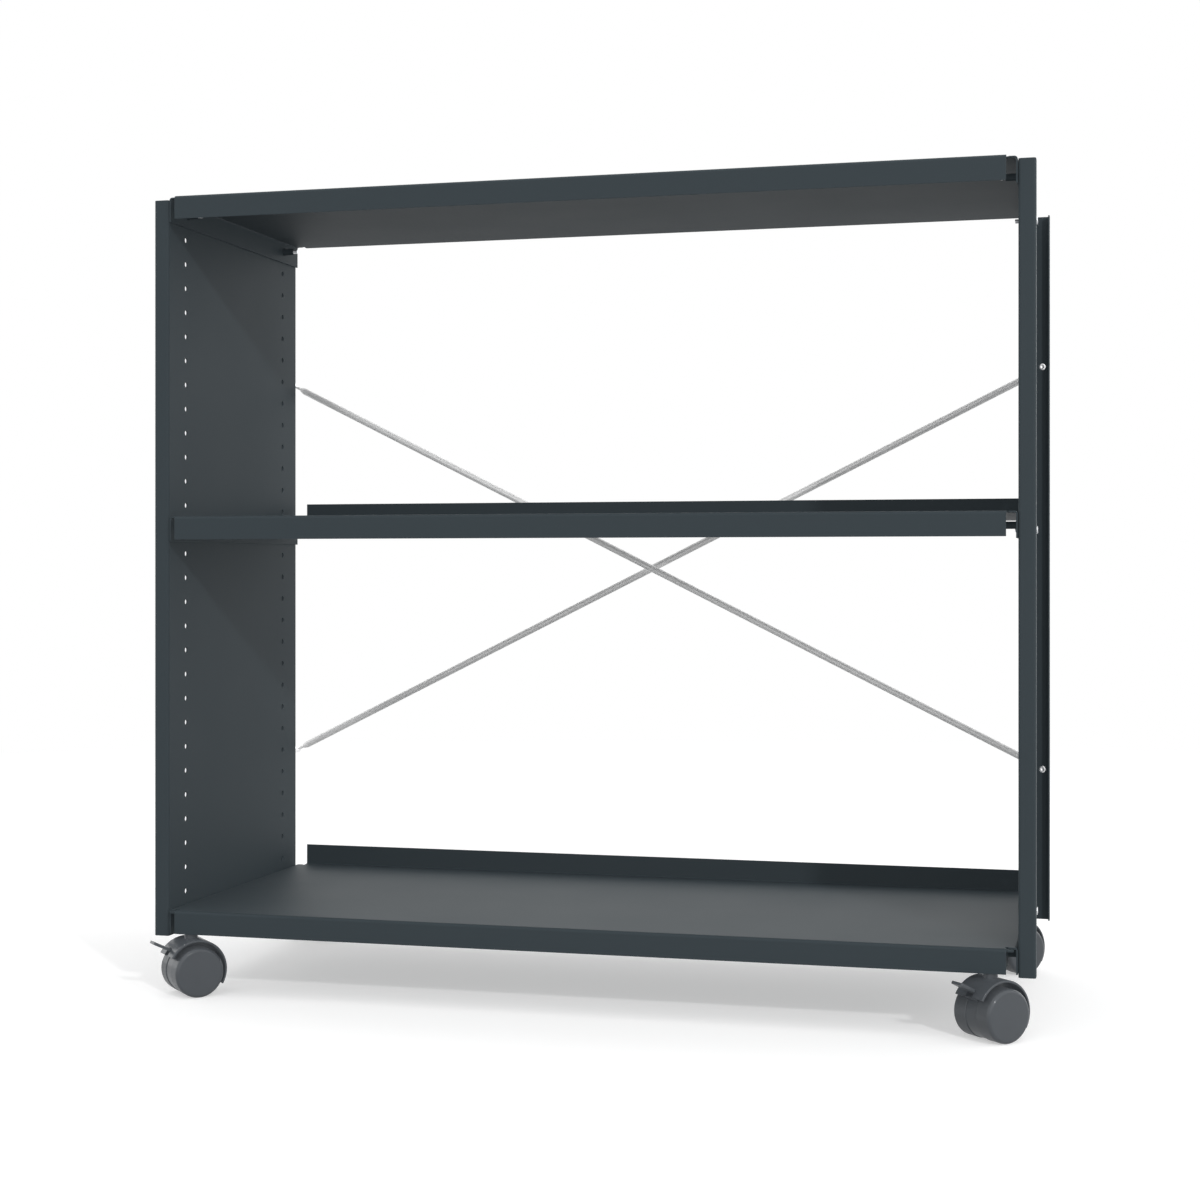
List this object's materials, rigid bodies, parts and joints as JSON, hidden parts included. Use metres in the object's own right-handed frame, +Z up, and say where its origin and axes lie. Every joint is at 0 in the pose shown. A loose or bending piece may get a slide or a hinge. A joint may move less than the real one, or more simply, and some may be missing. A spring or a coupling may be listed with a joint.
{
  "type": "rolling bookcase",
  "caption": "Open sheet-steel bookcase on braked swivel casters, with folded shelves screwed between perforated side panels and a crossed rod brace at the back.",
  "frame": {"origin": "on the floor, under the middle of the side panels", "axes": "+X to the right along the shelves, +Y to the rear, +Z up; the front faces -Y"},
  "size_m": [0.882, 0.3939, 0.8325],
  "materials": {
    "powder_coat": "satin anthracite powder coat",
    "brace_grey": "matt zinc plate, light grey",
    "bright_steel": "turned, bright",
    "zinc_steel": "bright zinc plate",
    "caster_plastic": "satin dark grey",
    "wheel_plastic": "satin dark grey"
  },
  "bodies": {
    "unit": {"side_panel_left": "powder_coat", "side_panel_right": "powder_coat", "shelf_bottom": "powder_coat", "shelf_middle": "powder_coat", "shelf_top": "powder_coat", "shelf_screws_bottom": "zinc_steel", "shelf_screws_middle": "zinc_steel", "shelf_screws_top": "zinc_steel", "brace_rod_falling": "brace_grey", "brace_rod_rising": "brace_grey", "brace_pins_falling": "bright_steel", "brace_pins_rising": "bright_steel", "caster_bushes": "zinc_steel", "caster_bracket_front_left": "powder_coat", "caster_bracket_front_right": "powder_coat", "caster_bracket_rear_left": "powder_coat", "caster_bracket_rear_right": "powder_coat", "caster_front_left_stem": "zinc_steel", "caster_front_left_ring": "zinc_steel", "caster_front_right_stem": "zinc_steel", "caster_front_right_ring": "zinc_steel", "caster_rear_left_stem": "zinc_steel", "caster_rear_left_ring": "zinc_steel", "caster_rear_right_stem": "zinc_steel", "caster_rear_right_ring": "zinc_steel"},
    "caster_front_left_swivel": {"caster_front_left_housing": "caster_plastic", "caster_front_left_axle": "zinc_steel", "caster_front_left_lever_pin": "zinc_steel"},
    "caster_front_left_brake": {"caster_front_left_lever": "caster_plastic"},
    "caster_front_left_wheel_left": {"caster_front_left_wheel_left": "wheel_plastic"},
    "caster_front_left_wheel_right": {"caster_front_left_wheel_right": "wheel_plastic"},
    "caster_front_right_swivel": {"caster_front_right_housing": "caster_plastic", "caster_front_right_axle": "zinc_steel", "caster_front_right_lever_pin": "zinc_steel"},
    "caster_front_right_brake": {"caster_front_right_lever": "caster_plastic"},
    "caster_front_right_wheel_left": {"caster_front_right_wheel_left": "wheel_plastic"},
    "caster_front_right_wheel_right": {"caster_front_right_wheel_right": "wheel_plastic"},
    "caster_rear_left_swivel": {"caster_rear_left_housing": "caster_plastic", "caster_rear_left_axle": "zinc_steel", "caster_rear_left_lever_pin": "zinc_steel"},
    "caster_rear_left_brake": {"caster_rear_left_lever": "caster_plastic"},
    "caster_rear_left_wheel_left": {"caster_rear_left_wheel_left": "wheel_plastic"},
    "caster_rear_left_wheel_right": {"caster_rear_left_wheel_right": "wheel_plastic"},
    "caster_rear_right_swivel": {"caster_rear_right_housing": "caster_plastic", "caster_rear_right_axle": "zinc_steel", "caster_rear_right_lever_pin": "zinc_steel"},
    "caster_rear_right_brake": {"caster_rear_right_lever": "caster_plastic"},
    "caster_rear_right_wheel_left": {"caster_rear_right_wheel_left": "wheel_plastic"},
    "caster_rear_right_wheel_right": {"caster_rear_right_wheel_right": "wheel_plastic"}
  },
  "joints": [
    {"name": "caster_front_left_swivel_joint", "type": "hinge", "parent": "unit", "child": "caster_front_left_swivel", "pos_m": [-0.4, -0.1625, 0.0575], "axis": [0, 0, 1], "continuous": true},
    {"name": "caster_front_left_wheel_left_spin", "type": "hinge", "parent": "caster_front_left_swivel", "child": "caster_front_left_wheel_left", "pos_m": [-0.39929, -0.16179, 0.025], "axis": [0.7071, -0.7071, 0], "continuous": true},
    {"name": "caster_front_left_wheel_right_spin", "type": "hinge", "parent": "caster_front_left_swivel", "child": "caster_front_left_wheel_right", "pos_m": [-0.39929, -0.16179, 0.025], "axis": [0.7071, -0.7071, 0], "continuous": true},
    {"name": "caster_front_left_brake_tilt", "type": "hinge", "parent": "caster_front_left_swivel", "child": "caster_front_left_brake", "pos_m": [-0.40849, -0.17099, 0.0417], "axis": [0.7071, -0.7071, 0], "range_deg": [0, 15]},
    {"name": "caster_front_right_swivel_joint", "type": "hinge", "parent": "unit", "child": "caster_front_right_swivel", "pos_m": [0.4, -0.1625, 0.0575], "axis": [0, 0, 1], "continuous": true},
    {"name": "caster_front_right_wheel_left_spin", "type": "hinge", "parent": "caster_front_right_swivel", "child": "caster_front_right_wheel_left", "pos_m": [0.40071, -0.16179, 0.025], "axis": [0.7071, -0.7071, 0], "continuous": true},
    {"name": "caster_front_right_wheel_right_spin", "type": "hinge", "parent": "caster_front_right_swivel", "child": "caster_front_right_wheel_right", "pos_m": [0.40071, -0.16179, 0.025], "axis": [0.7071, -0.7071, 0], "continuous": true},
    {"name": "caster_front_right_brake_tilt", "type": "hinge", "parent": "caster_front_right_swivel", "child": "caster_front_right_brake", "pos_m": [0.39151, -0.17099, 0.0417], "axis": [0.7071, -0.7071, 0], "range_deg": [0, 15]},
    {"name": "caster_rear_left_swivel_joint", "type": "hinge", "parent": "unit", "child": "caster_rear_left_swivel", "pos_m": [-0.4, 0.1625, 0.0575], "axis": [0, 0, 1], "continuous": true},
    {"name": "caster_rear_left_wheel_left_spin", "type": "hinge", "parent": "caster_rear_left_swivel", "child": "caster_rear_left_wheel_left", "pos_m": [-0.39929, 0.16321, 0.025], "axis": [0.7071, -0.7071, 0], "continuous": true},
    {"name": "caster_rear_left_wheel_right_spin", "type": "hinge", "parent": "caster_rear_left_swivel", "child": "caster_rear_left_wheel_right", "pos_m": [-0.39929, 0.16321, 0.025], "axis": [0.7071, -0.7071, 0], "continuous": true},
    {"name": "caster_rear_left_brake_tilt", "type": "hinge", "parent": "caster_rear_left_swivel", "child": "caster_rear_left_brake", "pos_m": [-0.40849, 0.15401, 0.0417], "axis": [0.7071, -0.7071, 0], "range_deg": [0, 15]},
    {"name": "caster_rear_right_swivel_joint", "type": "hinge", "parent": "unit", "child": "caster_rear_right_swivel", "pos_m": [0.4, 0.1625, 0.0575], "axis": [0, 0, 1], "continuous": true},
    {"name": "caster_rear_right_wheel_left_spin", "type": "hinge", "parent": "caster_rear_right_swivel", "child": "caster_rear_right_wheel_left", "pos_m": [0.40071, 0.16321, 0.025], "axis": [0.7071, -0.7071, 0], "continuous": true},
    {"name": "caster_rear_right_wheel_right_spin", "type": "hinge", "parent": "caster_rear_right_swivel", "child": "caster_rear_right_wheel_right", "pos_m": [0.40071, 0.16321, 0.025], "axis": [0.7071, -0.7071, 0], "continuous": true},
    {"name": "caster_rear_right_brake_tilt", "type": "hinge", "parent": "caster_rear_right_swivel", "child": "caster_rear_right_brake", "pos_m": [0.39151, 0.15401, 0.0417], "axis": [0.7071, -0.7071, 0], "range_deg": [0, 15]}
  ]
}
